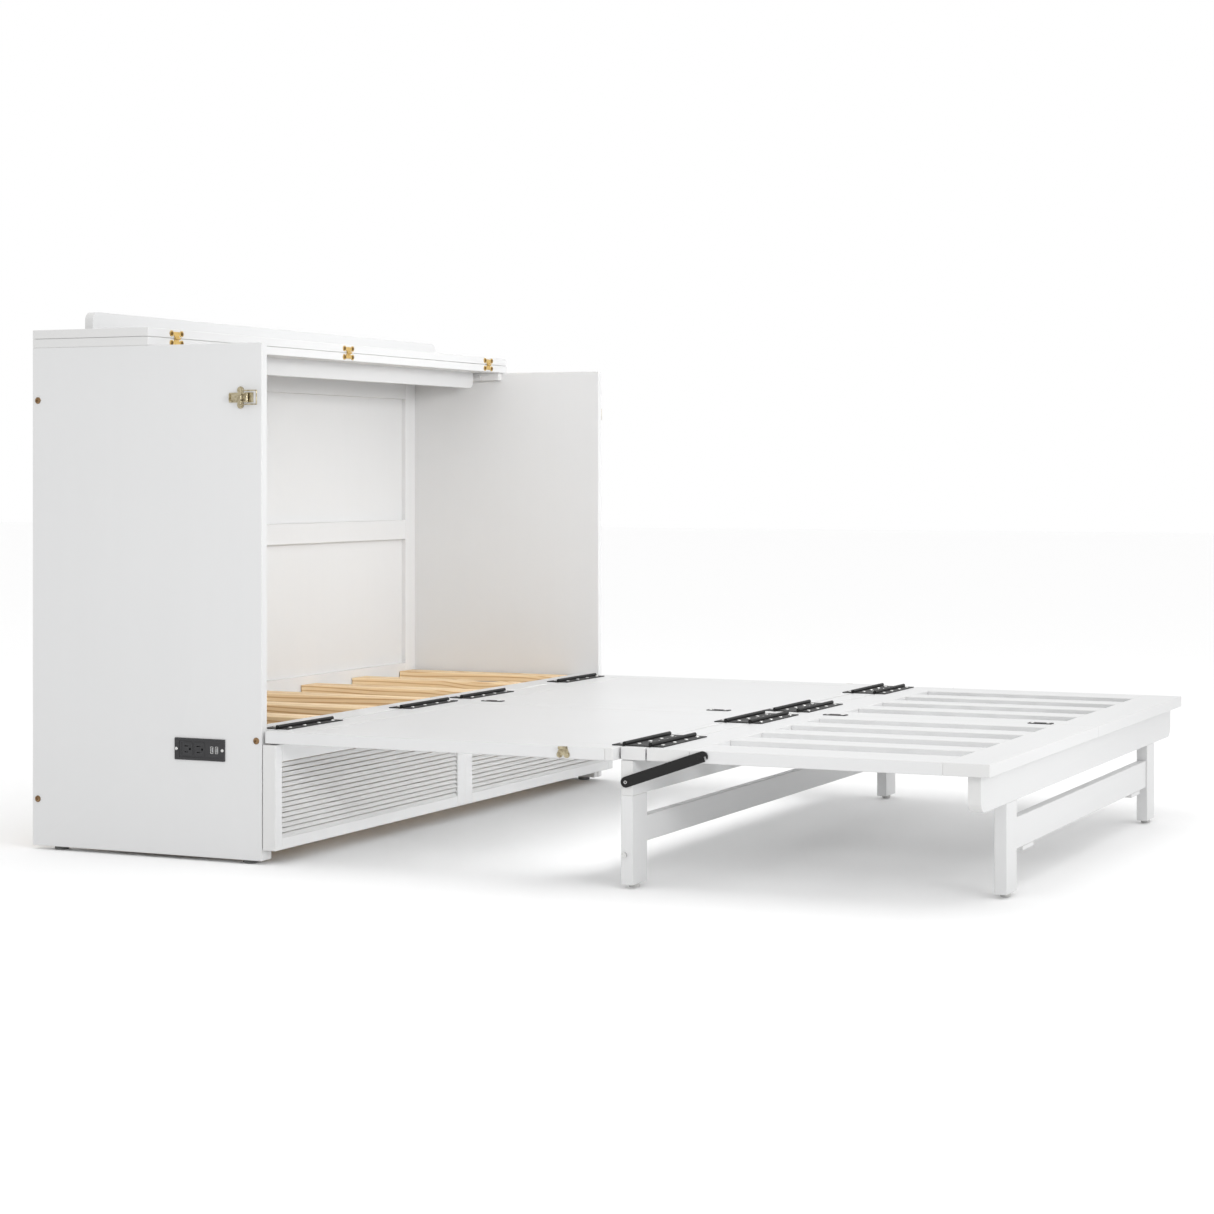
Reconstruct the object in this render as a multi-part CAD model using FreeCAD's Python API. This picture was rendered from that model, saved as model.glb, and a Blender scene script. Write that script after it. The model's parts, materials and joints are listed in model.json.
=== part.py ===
import FreeCAD, Part
import math
import os

# Murphy cabinet bed, shown open: a cabinet at the head, a panel that folds down
# from its front, a narrow bridge rail, and a slatted foot section on two leg
# frames. Millimetres, +Z up, the floor at Z = 0, X across the bed, the head
# towards +Y. The origin is the middle of the footprint.

# ---------------------------------------------------------------- sizes
width = 1640.0              # over the outer faces of the side panels
cabinet_depth = 568.0       # side panels, front edge to back edge
side_height = 1058.0        # top edge of the side panels above the floor
side_thickness = 20.0
glide_height = 8.0
top_depth = 292.0           # fixed board and lid, front to back
top_thickness = 18.5
top_gap = 0.5               # between the fixed board and the folded lid
deck_height = 271.0         # sleeping surface above the floor
deck_thickness = 24.0
barrel_rise = 4.5           # hinge axes above the deck
barrel_radius = 4.0
barrel_set_out = 5.0        # cabinet hinge axis in front of the panel edges
joint_gap = 5.0             # slot under the first two hinge lines
bridge_width = 50.0
bridge_gap = 4.0            # slot between the bridge rail and the foot section
foot_length = 671.5
deck_inset = side_thickness + 8.0    # the folding sections inside the cabinet's width
lid_clearance = 1.5         # closed lid above the uppermost barrels
leg_thickness = 24.0
leg_width = 70.0
leg1_inset = deck_inset + 1.0
leg2_inset = 213.0
leg2_rail_inset = 46.0
leg_rail_height = 67.0
stretcher_height = 50.0
stretcher2_height = 60.0
stretcher_low = 84.0
drawer_thickness = 30.0
drawer_low = 30.0
drawer_gap = 3.0            # drawer front below the open deck
stile_width = 26.0
centre_stile = 36.0
louvre_rail_low = 24.0
louvre_rail_high = 36.0
louvre_count = 15
louvre_thickness = 6.0
louvre_slant = 4.5
slat_width = 70.0
slat_thickness = 20.0
slat_count = 7
rail_height = 40.0          # stiffening rails on the lid and under the top
rail_thickness = 20.0
rail_inset = 60.0
lid_rail_back = 111.0       # lid rail, from its back edge to the lid's back
top_rail_set_back = 69.0    # top rail behind the front of the fixed top
hinge_length = 220.0
hinge_inner = 143.0         # hinge centres, either side of the middle
hinge_outer = 660.0
leaf_thickness = 2.0
leaf_width = 26.0
pin_radius = 2.0
running_gap = 0.05
knuckle_gap = 0.4
board_edge = 1.0            # chamfer on the boards' edges

# ---------------------------------------------------------------- places
half = width / 2
inner = half - side_thickness
axis_z = deck_height + barrel_rise
deck_low = deck_height - deck_thickness
top_z = side_height
seam_z = top_z + top_thickness
lid_z = seam_z + top_gap
lid_top = lid_z + top_thickness
# the folded panel ends just under the closed lid, and that sets its length
first_axis = side_height + top_gap - lid_clearance - barrel_rise - axis_z + barrel_set_out
mid_end = first_axis - joint_gap / 2
bridge_start = first_axis + joint_gap / 2
bridge_end = bridge_start + bridge_width
second_axis = bridge_end + bridge_gap / 2
foot_start = bridge_end + bridge_gap
deck_reach = foot_start + foot_length
front = (deck_reach - cabinet_depth) / 2
back = front + cabinet_depth
foot_half = half - deck_inset
hinge_centres = (-hinge_outer, -hinge_inner, hinge_inner, hinge_outer)
sides = (-1, 1)


# ---------------------------------------------------------------- helpers
def block(x0, x1, y0, y1, z0, z1):
    corner = FreeCAD.Vector(min(x0, x1), min(y0, y1), min(z0, z1))
    return Part.makeBox(abs(x1 - x0), abs(y1 - y0), abs(z1 - z0), corner)


def board(x0, x1, y0, y1, z0, z1):
    solid = block(x0, x1, y0, y1, z0, z1)
    return solid.makeChamfer(board_edge, solid.Edges)


def rod(x, y, z, radius, length, axis):
    direction = FreeCAD.Vector(*axis)
    return Part.makeCylinder(radius, length, FreeCAD.Vector(x, y, z), direction)


def dome(x, y, z, radius, height, axis):
    # a low screw head: a disc with a chamfered rim
    disc = rod(x, y, z, radius, height, axis)
    rims = [e for e in disc.Edges if abs(e.Length - 2 * math.pi * radius) < 0.01]
    place = FreeCAD.Vector(x, y, z) + FreeCAD.Vector(*axis) * height
    outer = [e for e in rims if (e.CenterOfMass - place).Length < 0.01]
    return disc.makeChamfer(height * 0.45, outer)


def profile(points, x0, x1):
    # a closed outline in the Y-Z plane, drawn out along X
    wire = Part.makePolygon([FreeCAD.Vector(x0, y, z) for y, z in points + points[:1]])
    return Part.Face(wire).extrude(FreeCAD.Vector(x1 - x0, 0, 0))


def end_rounded(x0, x1, y0, y1, z0, z1, radius, upper):
    # a rail whose two corners on one long edge are rounded
    solid = block(x0, x1, y0, y1, z0, z1)
    level = z1 if upper else z0
    edges = []
    for edge in solid.Edges:
        mid = edge.CenterOfMass
        along_y = abs(mid.y - (y0 + y1) / 2) < 0.01
        at_end = min(abs(mid.x - x0), abs(mid.x - x1)) < 0.01
        if along_y and at_end and abs(mid.z - level) < 0.01:
            edges.append(edge)
    return solid.makeFillet(radius, edges)


def keep(name, shapes):
    for shape in shapes:
        assert shape.isValid() and shape.Volume > 0, name
    solids = [s for shape in shapes for s in shape.Solids]
    Part.makeCompound(solids).exportStep("parts/%s.step" % name)


def knuckles(centre, axis_y, axis_height, side, odd, low, thick, radius, length, count):
    # one leaf's share of a barrel, with the webs that join it to the leaf;
    # side is the direction of the leaf from the axis along Y
    pitch = length / count
    parts = []
    for i in range(count):
        if i % 2 == odd:
            continue
        x0 = centre - length / 2 + i * pitch + knuckle_gap / 2
        x1 = x0 + pitch - knuckle_gap
        tube = rod(x0, axis_y, axis_height, radius, x1 - x0, (1, 0, 0))
        web = block(x0, x1, axis_y, axis_y + side * (radius + 1.5), low, low + thick)
        bore = rod(x0 - 1, axis_y, axis_height, pin_radius + running_gap, x1 - x0 + 2, (1, 0, 0))
        parts.append(tube.fuse(web).cut(bore))
    return parts


def deck_leaf(centre, axis_y, side, odd, leaf):
    # a hinge leaf lying on the deck, with its share of the barrel
    x0 = centre - hinge_length / 2
    x1 = centre + hinge_length / 2
    start = axis_y + side * (barrel_radius + 0.4)
    plate = block(x0, x1, start, axis_y + side * leaf, deck_height, deck_height + leaf_thickness)
    for part in knuckles(centre, axis_y, axis_z, side, odd, deck_height,
                         leaf_thickness, barrel_radius, hinge_length, 5):
        plate = plate.fuse(part)
    return plate.removeSplitter()


def deck_pin(centre, axis_y):
    start = centre - hinge_length / 2 - 1
    return rod(start, axis_y, axis_z, pin_radius, hinge_length + 2, (1, 0, 0))


def leaf_screws(centre, y, count, spread):
    step = spread / (count - 1)
    top = deck_height + leaf_thickness
    return [dome(centre - spread / 2 + i * step, y, top, 4.0, 1.2, (0, 0, 1)) for i in range(count)]


os.makedirs("parts", exist_ok=True)

# ---------------------------------------------------------------- cabinet
# The socket fills a slot in the left side panel.
socket_y = front + 148.0
socket_z = 228.0
socket_length = 122.0
socket_height = 45.0
socket_body_length = 98.0
socket_body_height = 36.0
left_panel = board(-half, -inner, front, back, glide_height, side_height)
slot = block(-half - 1, -inner + 1, socket_y - socket_body_length / 2 - 0.3,
             socket_y + socket_body_length / 2 + 0.3, socket_z - socket_body_height / 2 - 0.3,
             socket_z + socket_body_height / 2 + 0.3)
keep("side_panel_left", [left_panel.cut(slot)])
keep("side_panel_right", [board(inner, half, front, back, glide_height, side_height)])

# The back is a frame of stiles and rails with two thin panels let into it.
back_frame = 18.0
back_panel = 6.0
back_stile = 53.0
back_front = back - 10.0 - back_frame
top_rail_low = side_height - 67.0
mid_rail_low = side_height - 439.0
mid_rail_high = mid_rail_low + 51.0
bottom_rail_low = 170.0
bottom_rail_high = deck_height + 20.0
frame_back = back_front + back_frame
back_stiles = [board(s * inner, s * (inner - back_stile), back_front, frame_back,
                     bottom_rail_low, side_height) for s in sides]
rail_end = inner - back_stile
back_levels = ((bottom_rail_low, bottom_rail_high), (mid_rail_low, mid_rail_high),
               (top_rail_low, side_height))
back_rails = [board(-rail_end, rail_end, back_front, frame_back, a, b) for a, b in back_levels]
keep("back_frame", back_stiles + back_rails)
panel_y = frame_back - back_panel
keep("back_panels", [block(-rail_end, rail_end, panel_y, frame_back, a, b)
                     for a, b in ((bottom_rail_high, mid_rail_low), (mid_rail_high, top_rail_low))])

# The fixed half of the top, its stiffening rail, and the cleats under its ends.
top_front = back - top_depth
keep("top_board", [board(-half, half, top_front, back, top_z, seam_z)])
top_rail_y = top_front + top_rail_set_back
rail_x = half - rail_inset
keep("top_rail", [end_rounded(-rail_x, rail_x, top_rail_y, top_rail_y + rail_thickness,
                              top_z - rail_height, top_z, 18.0, False)])
cleat = 20.0
cleats = []
for s in sides:
    cleats.append(board(s * inner, s * (inner - cleat), top_front + 4.0, back_front - 2.0,
                        top_z - cleat, top_z))
    for y in (top_front + 60.0, back_front - 60.0):
        cleats.append(dome(s * (inner - cleat), y, top_z - cleat / 2, 4.0, 1.5, (-s, 0, 0)))
keep("top_cleats", cleats)

# The deck rail across the front carries the hinges and the slats' front ends.
deck_rail = 74.0
keep("deck_front_rail", [board(-inner, inner, front, front + deck_rail, deck_low, deck_height)])
ledger_height = 30.0
ledger_width = 24.0
ledge_z = deck_height - slat_thickness
ledger_front = front + deck_rail
keep("slat_ledgers", [
    board(-inner, inner, ledger_front, ledger_front + ledger_width,
          ledge_z - ledger_height, ledge_z),
    board(-inner, inner, back_front - ledger_width, back_front, ledge_z - ledger_height, ledge_z)])
slat_start = ledger_front + 2.0
slat_end = back_front - 2.0
slat_reach = inner - 20.0 - slat_width / 2
slat_pitch = 2 * slat_reach / (slat_count - 1)
slats = []
for i in range(slat_count):
    x = -slat_reach + i * slat_pitch
    slats.append(board(x - slat_width / 2, x + slat_width / 2, slat_start, slat_end,
                       ledge_z, deck_height))
keep("pine_slats", slats)

# Battens along the foot of the side panels, with the glides under them.
batten = 20.0
batten_low = glide_height
batten_high = drawer_low + 10.0
keep("base_battens", [board(s * inner, s * (inner - batten), front + 2.0, back - 30.0,
                            batten_low, batten_high) for s in sides])
glide_places = [(s * (inner - 2.0), y) for s in sides for y in (front + 40.0, back - 60.0)]
keep("cabinet_glides", [rod(x, y, 0, 15.0, glide_height, (0, 0, 1)) for x, y in glide_places])

# Cap bolts on the outer faces.
bolt_places = ((back - 14.0, side_height - 111.0), (back - 14.0, 106.0), (front + 13.0, 251.0))
keep("cap_bolts", [dome(s * half, y, z, 7.0, 2.5, (s, 0, 0))
                   for s in sides for y, z in bolt_places])

# The power socket: cover plate, screws, and the body that carries the outlets.
plate_thickness = 3.0
window_length = 98.0
window_height = 34.0
plate = board(-half - plate_thickness, -half, socket_y - socket_length / 2,
              socket_y + socket_length / 2, socket_z - socket_height / 2,
              socket_z + socket_height / 2)
window = block(-half - plate_thickness - 1, -half + 1, socket_y - window_length / 2,
               socket_y + window_length / 2, socket_z - window_height / 2,
               socket_z + window_height / 2)
plate_screws = [dome(-half - plate_thickness, y, socket_z, 3.2, 1.2, (-1, 0, 0))
                for y in (socket_y - 55.5, socket_y + 55.5)]
keep("socket_plate", [plate.cut(window)] + plate_screws)
body = block(-half - 2.4, -half + 1.0, socket_y - window_length / 2 + 0.3,
             socket_y + window_length / 2 - 0.3, socket_z - window_height / 2 + 0.3,
             socket_z + window_height / 2 - 0.3)
body = body.fuse(block(-half + 0.5, -inner + 24.0, socket_y - socket_body_length / 2,
                       socket_y + socket_body_length / 2, socket_z - socket_body_height / 2,
                       socket_z + socket_body_height / 2)).removeSplitter()
face_x = -half - 2.4
cuts = []
# two outlets lying on their sides, and two upright charging ports
for y in (socket_y + 30.0, socket_y + 0.5):
    cuts.append(block(face_x - 1, face_x + 5, y - 2.0, y + 6.0, socket_z - 6.9, socket_z - 5.3))
    cuts.append(block(face_x - 1, face_x + 5, y - 2.5, y + 6.5, socket_z + 5.3, socket_z + 6.9))
    cuts.append(rod(face_x - 1, y - 7.0, socket_z, 2.4, 6.0, (1, 0, 0)))
for y in (socket_y - 30.0, socket_y - 41.5):
    cuts.append(block(face_x - 1, face_x + 3.8, y - 2.3, y + 2.3, socket_z - 6.2, socket_z + 6.2))
for cut in cuts:
    body = body.cut(cut)
keep("socket_body", [body])

# Cabinet halves of the drawer runners.
runner_z = 90.0
runner_height = 44.0
runner_length = cabinet_depth - 60.0
keep("drawer_runners", [block(s * inner, s * (inner - 6.0), front + 4.0, front + 4.0 + runner_length,
                              runner_z, runner_z + runner_height) for s in sides])

# Hinges between the cabinet and the panel: the cabinet's leaves and pins.
deck_axis = front - barrel_set_out
cabinet_leaves = []
for centre in hinge_centres:
    cabinet_leaves.append(deck_leaf(centre, deck_axis, 1, 1, leaf_width + barrel_set_out))
    cabinet_leaves.append(deck_pin(centre, deck_axis))
    cabinet_leaves += leaf_screws(centre, deck_axis + 20.0, 4, hinge_length - 50.0)
keep("deck_hinge_leaves", cabinet_leaves)

# ---------------------------------------------------------------- lid
lid_axis_y = top_front - 3.0
lid_axis_z = seam_z + top_gap / 2 + 0.1
keep("lid_board", [board(-half, half, top_front, back, lid_z, lid_top)])
lid_rail_y = back - lid_rail_back
keep("lid_rail", [end_rounded(-rail_x, rail_x, lid_rail_y, lid_rail_y + rail_thickness,
                              lid_top, lid_top + rail_height, 18.0, True)])
# Three small hinges on the front edges: two ears above and two below the seam.
lid_hinge_centres = (-half + 104.0, -4.0, half - 107.0)
lid_hinge_half = 25.0
ear = 13.0
ear_rise = 10.0
lid_leaf = 1.6
lid_barrel = 2.6
lid_barrel_half = 9.0


def lid_leaf_solid(centre, upper):
    # two round ears on the board's front edge, joined by a strip, and a short
    # neck down to the leaf's share of the barrel
    sign = 1 if upper else -1
    level = lid_axis_z + sign * ear_rise
    near = lid_axis_z + sign * (top_gap / 2 + 0.1)
    face = top_front - lid_leaf
    solid = block(centre - lid_hinge_half + ear / 2, centre + lid_hinge_half - ear / 2, face,
                  top_front, level - 3.5, level + 3.5)
    for s in sides:
        x = centre + s * (lid_hinge_half - ear / 2)
        solid = solid.fuse(rod(x, top_front, level, ear / 2, lid_leaf, (0, -1, 0)))
    solid = solid.fuse(block(centre - lid_barrel_half, centre + lid_barrel_half, face, top_front,
                             near + sign * 2.6, level))
    spans = ((-1.0, -0.35), (0.35, 1.0)) if upper else ((-0.32, 0.32),)
    for a, b in spans:
        x0 = centre + a * lid_barrel_half
        x1 = centre + b * lid_barrel_half
        tube = rod(x0, lid_axis_y, lid_axis_z, lid_barrel, x1 - x0, (1, 0, 0))
        web = block(x0, x1, face, lid_axis_y - 0.4, lid_axis_z, near + sign * 3.4)
        hole = rod(x0 - 1, lid_axis_y, lid_axis_z, 1.25, x1 - x0 + 2, (1, 0, 0))
        solid = solid.fuse(tube.fuse(web).cut(hole))
    return solid.removeSplitter()


def lid_leaf_screws(centre, upper):
    sign = 1 if upper else -1
    height = lid_axis_z + sign * ear_rise
    return [dome(centre + s * (lid_hinge_half - ear / 2), top_front - lid_leaf, height, 4.2, 1.2,
                 (0, -1, 0)) for s in sides]


keep("top_hinge_leaves", [lid_leaf_solid(c, False) for c in lid_hinge_centres]
     + [rod(c - lid_barrel_half, lid_axis_y, lid_axis_z, 1.2, 2 * lid_barrel_half, (1, 0, 0))
        for c in lid_hinge_centres]
     + [s for c in lid_hinge_centres for s in lid_leaf_screws(c, False)])
keep("lid_hinge_leaves", [lid_leaf_solid(c, True) for c in lid_hinge_centres]
     + [s for c in lid_hinge_centres for s in lid_leaf_screws(c, True)])

# ---------------------------------------------------------------- latches
# A toggle latch on each side panel. Its lever turns on a pin in the base, and
# the wire loop turns on the lever and reaches for the catch on the panel edge.
latch_z = side_height - 111.0
latch_y = front + 46.0
base_thickness = 2.0
lever_axis_y = front + 32.0
lever_axis_out = 7.0
loop_axis_y = front + 43.5
loop_axis_out = 11.0
for s, name in zip(sides, ("left", "right")):
    x = s * half
    out = (s, 0, 0)
    base = block(x, x + s * base_thickness, front + 20.0, front + 77.0, latch_z - 10, latch_z + 10)
    for end in sides:
        base = base.fuse(rod(x, latch_y + 4.0, latch_z + end * 15.0, 7.5, base_thickness, out))
    for end in sides:
        cheek = block(x, x + s * (lever_axis_out + 3.0), lever_axis_y - 4.0, lever_axis_y + 4.0,
                      latch_z + end * 8.0, latch_z + end * 10.0)
        base = base.fuse(cheek)
    pin = rod(x + s * lever_axis_out, lever_axis_y, latch_z - 10.5, 1.2, 21.0, (0, 0, 1))
    heads = [dome(x + s * base_thickness, latch_y + 4.0, latch_z + e * 15.0, 4.2, 1.6, out)
             for e in sides]
    keep("latch_base_" + name, [base.removeSplitter().cut(pin), pin] + heads)
    hub = rod(x + s * lever_axis_out, lever_axis_y, latch_z - 7.6, 3.4, 15.2, (0, 0, 1))
    arm = block(x + s * (lever_axis_out - 2.4), x + s * (lever_axis_out - 0.4), lever_axis_y,
                front + 72.0, latch_z - 6.5, latch_z + 6.5)
    lift = block(x + s * (lever_axis_out - 2.4), x + s * (lever_axis_out + 2.6), front + 71.0,
                 front + 73.0, latch_z - 6.5, latch_z + 6.5)
    lever = hub.fuse(arm).fuse(lift)
    for end in sides:
        ear_plate = block(x + s * (lever_axis_out - 2.4), x + s * (loop_axis_out + 2.4),
                          loop_axis_y - 2.6, loop_axis_y + 2.6,
                          latch_z + end * 4.6, latch_z + end * 6.4)
        lever = lever.fuse(ear_plate)
    lever = lever.cut(rod(x + s * lever_axis_out, lever_axis_y, latch_z - 9, 1.25, 18, (0, 0, 1)))
    lever = lever.cut(rod(x + s * loop_axis_out, loop_axis_y, latch_z - 9, 1.35, 18, (0, 0, 1)))
    keep("latch_lever_" + name, [lever.removeSplitter()])
    wire = 1.3
    loop_x = x + s * loop_axis_out
    loop_front = front + 6.0
    loop = rod(loop_x, loop_axis_y, latch_z - 14.0, wire, 28.0, (0, 0, 1))
    loop = loop.fuse(rod(loop_x, loop_front, latch_z - 14.0, wire, 28.0, (0, 0, 1)))
    for end in sides:
        z = latch_z + end * 14.0
        loop = loop.fuse(rod(loop_x, loop_front, z, wire, loop_axis_y - loop_front, (0, 1, 0)))
        for y in (loop_front, loop_axis_y):
            loop = loop.fuse(Part.makeSphere(wire, FreeCAD.Vector(loop_x, y, z)))
    keep("latch_loop_" + name, [loop.removeSplitter()])

# ---------------------------------------------------------------- folding panel
# Two half frames joined on the middle line, flush panels on top, a strip across
# the far end. The underside is the cabinet's face when the bed is put away.
mid_start = front - barrel_set_out - joint_gap / 2
mid_stop = front - mid_end
strip = 16.0
mid_stile = 70.0
mid_rail = 80.0
deck_skin = 9.0
mid_frame_end = mid_stop + strip
mid_stiles = []
mid_rails = []
mid_panels = []
for s in sides:
    mid_stiles.append(board(s * half, s * (half - mid_stile), mid_start, mid_frame_end,
                            deck_low, deck_height))
    mid_stiles.append(board(0, s * mid_stile, mid_start, mid_frame_end, deck_low, deck_height))
    x0 = s * mid_stile
    x1 = s * (half - mid_stile)
    for y in (mid_start, mid_frame_end + mid_rail):
        mid_rails.append(board(x0, x1, y, y - mid_rail, deck_low, deck_height))
    mid_panels.append(block(x0, x1, mid_start - mid_rail, mid_frame_end + mid_rail,
                            deck_height - deck_skin, deck_height - 0.3))
keep("mid_stiles", mid_stiles)
mid_rails.append(board(-half, half, mid_stop, mid_frame_end, deck_low, deck_height))
keep("mid_rails", mid_rails)
keep("mid_panels", mid_panels)


def mending_plates(places):
    shapes = []
    for y in places:
        shapes.append(block(-11.0, 11.0, y - 25.0, y + 25.0, deck_height, deck_height + 1.6))
        for dx in (-6.0, 6.0):
            for dy in (-17.0, 17.0):
                shapes.append(dome(dx, y + dy, deck_height + 1.6, 3.2, 0.9, (0, 0, 1)))
    return shapes


keep("mid_plates", mending_plates((front - 104.0, front - 663.0)))
catch_y = front - (latch_z - axis_z) - barrel_set_out
catches = []
catch_middle = deck_height - 16.0
for s in sides:
    x = s * half
    fan = [(catch_y - 8.0, deck_height - 0.3), (catch_y + 8.0, deck_height - 0.3),
           (catch_y + 13.0, catch_middle - 1.0), (catch_y - 13.0, catch_middle - 1.0)]
    shape = profile(fan, min(x, x + s * 1.6), max(x, x + s * 1.6))
    for y in (catch_y - 7.5, catch_y + 7.5):
        shape = shape.fuse(rod(x, y, catch_middle - 0.5, 6.2, 1.6, (s, 0, 0)))
    lip = block(x, x + s * 8.0, catch_y - 8.0, catch_y + 8.0, deck_height - 2.3, deck_height - 0.3)
    tip = block(x + s * 6.2, x + s * 8.0, catch_y - 8.0, catch_y + 8.0, deck_height - 5.0,
                deck_height - 0.3)
    catches.append(shape.fuse(lip).fuse(tip).removeSplitter())
    for y in (catch_y - 7.5, catch_y + 7.5):
        catches.append(dome(x + s * 1.6, y, catch_middle - 0.5, 3.6, 1.3, (s, 0, 0)))
keep("panel_catches", catches)
mid_leaves = []
first_y = front - first_axis
for centre in hinge_centres:
    mid_leaves.append(deck_leaf(centre, deck_axis, -1, 0, leaf_width))
    mid_leaves.append(deck_leaf(centre, first_y, 1, 1, leaf_width))
    mid_leaves.append(deck_pin(centre, first_y))
    mid_leaves += leaf_screws(centre, deck_axis - 15.5, 4, hinge_length - 50.0)
    mid_leaves += leaf_screws(centre, first_y + 15.5, 4, hinge_length - 50.0)
keep("mid_hinge_leaves", mid_leaves)

# ---------------------------------------------------------------- bridge rail
second_y = front - second_axis
bridge_a = front - bridge_start
bridge_b = front - bridge_end
keep("bridge_rail", [board(-foot_half, foot_half, bridge_b, bridge_a, deck_low, deck_height)])
plates = []
for centre in hinge_centres:
    plate = block(centre - hinge_length / 2, centre + hinge_length / 2,
                  second_y + barrel_radius + 0.4, first_y - barrel_radius - 0.4,
                  deck_height, deck_height + leaf_thickness)
    for part in knuckles(centre, first_y, axis_z, -1, 0, deck_height, leaf_thickness,
                         barrel_radius, hinge_length, 5):
        plate = plate.fuse(part)
    for part in knuckles(centre, second_y, axis_z, 1, 1, deck_height, leaf_thickness,
                         barrel_radius, hinge_length, 5):
        plate = plate.fuse(part)
    plates.append(plate.removeSplitter())
    plates.append(deck_pin(centre, second_y))
    plates += leaf_screws(centre, (first_y + second_y) / 2 + 9.0, 4, hinge_length - 60.0)
    plates += leaf_screws(centre, (first_y + second_y) / 2 - 9.0, 4, hinge_length - 100.0)
keep("bridge_hinge_plates", plates)

# ---------------------------------------------------------------- leg hinges
# Leg frames swing on small butt hinges under the deck.
leg_barrel = 3.0
leg_leaf = 1.6
leg_hinge_length = 60.0
leg_hinge_centres = (-foot_half + 330.0, foot_half - 330.0)
leg1_back = bridge_a
leg1_front = leg1_back - leg_thickness
leg1_axis = leg1_front - leg_barrel
leg_axis_z = deck_low - leg_barrel
leg2_front = front - deck_reach + 22.0
leg2_back = leg2_front + leg_thickness
leg2_axis = leg2_back + leg_barrel


def leg_leaf_fixed(centre, axis_y, away):
    # the leaf screwed to the underside of the deck; away points from the leg
    x0 = centre - leg_hinge_length / 2
    x1 = centre + leg_hinge_length / 2
    solid = block(x0, x1, axis_y + away * (leg_barrel + 0.3), axis_y + away * 18.0,
                  deck_low - leg_leaf, deck_low)
    for i in (0, 2):
        a = x0 + i * leg_hinge_length / 3 + 0.2
        b = a + leg_hinge_length / 3 - 0.4
        tube = rod(a, axis_y, leg_axis_z, leg_barrel, b - a, (1, 0, 0))
        web = block(a, b, axis_y, axis_y + away * (leg_barrel + 1.0), deck_low - 0.8, deck_low)
        hole = rod(a - 1, axis_y, leg_axis_z, 1.55, b - a + 2, (1, 0, 0))
        solid = solid.fuse(tube.fuse(web).cut(hole))
    return solid.removeSplitter()


def leg_leaf_moving(centre, axis_y, face_y):
    # the leaf screwed to the leg rail's face
    x0 = centre - leg_hinge_length / 2
    x1 = centre + leg_hinge_length / 2
    side = 1 if axis_y > face_y else -1
    solid = block(x0, x1, face_y, face_y + side * leg_leaf, leg_axis_z - leg_barrel - 0.3,
                  leg_axis_z - 18.0)
    a = x0 + leg_hinge_length / 3 + 0.2
    b = a + leg_hinge_length / 3 - 0.4
    tube = rod(a, axis_y, leg_axis_z, leg_barrel - 0.1, b - a, (1, 0, 0))
    web = block(a, b, face_y, face_y + side * leg_leaf, leg_axis_z, leg_axis_z - leg_barrel - 1.0)
    hole = rod(a - 1, axis_y, leg_axis_z, 1.55, b - a + 2, (1, 0, 0))
    return solid.fuse(tube.fuse(web).cut(hole)).removeSplitter()


def leg_pin(centre, axis_y):
    start = centre - leg_hinge_length / 2
    return rod(start, axis_y, leg_axis_z, 1.5, leg_hinge_length, (1, 0, 0))


keep("leg1_hinge_tops", [leg_leaf_fixed(c, leg1_axis, -1) for c in leg_hinge_centres]
     + [leg_pin(c, leg1_axis) for c in leg_hinge_centres])
keep("leg2_hinge_tops", [leg_leaf_fixed(c, leg2_axis, 1) for c in leg_hinge_centres]
     + [leg_pin(c, leg2_axis) for c in leg_hinge_centres])

# ---------------------------------------------------------------- foot section
# Two half frames joined on the middle line: a rail across each end, a stile
# down each side, and three slats spaced evenly between the stiles.
foot_a = front - foot_start
foot_b = front - deck_reach
end_rail = 88.0
outer_stile = 112.0
inner_stile = 80.0
foot_slat_width = 74.0
foot_slat = 14.0
foot_slat_count = 3
foot_gap = (foot_half - outer_stile - inner_stile
            - foot_slat_count * foot_slat_width) / (foot_slat_count + 1)
board_start = foot_b + end_rail
board_stop = foot_a - end_rail
foot_rails = []
foot_boards = []
foot_battens = []
for s in sides:
    for y0, y1 in ((foot_a, board_stop), (board_start, foot_b)):
        foot_rails.append(board(0, s * foot_half, y0, y1, deck_low, deck_height))
    foot_boards.append(board(s * foot_half, s * (foot_half - outer_stile), board_start, board_stop,
                             deck_low, deck_height))
    foot_boards.append(board(0, s * inner_stile, board_start, board_stop, deck_low, deck_height))
    for i in range(foot_slat_count):
        x = s * (inner_stile + foot_gap + i * (foot_slat_width + foot_gap))
        foot_boards.append(board(x, x + s * foot_slat_width, board_start, board_stop,
                                 deck_height - foot_slat, deck_height))
    for y in (board_stop - 150.0, (board_start + board_stop) / 2, board_start + 150.0):
        foot_battens.append(board(s * (foot_half - outer_stile), s * inner_stile, y - 30.0, y + 30.0,
                                  deck_low, deck_height - foot_slat))
keep("foot_rails", foot_rails)
keep("foot_boards", foot_boards)
keep("foot_underframe", foot_battens)
keep("foot_plates", mending_plates((front - 935.0, front - 1388.0)))
foot_leaves = []
for centre in hinge_centres:
    foot_leaves.append(deck_leaf(centre, second_y, -1, 0, leaf_width))
    foot_leaves += leaf_screws(centre, second_y - 15.5, 4, hinge_length - 50.0)
keep("foot_hinge_leaves", foot_leaves)


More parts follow.
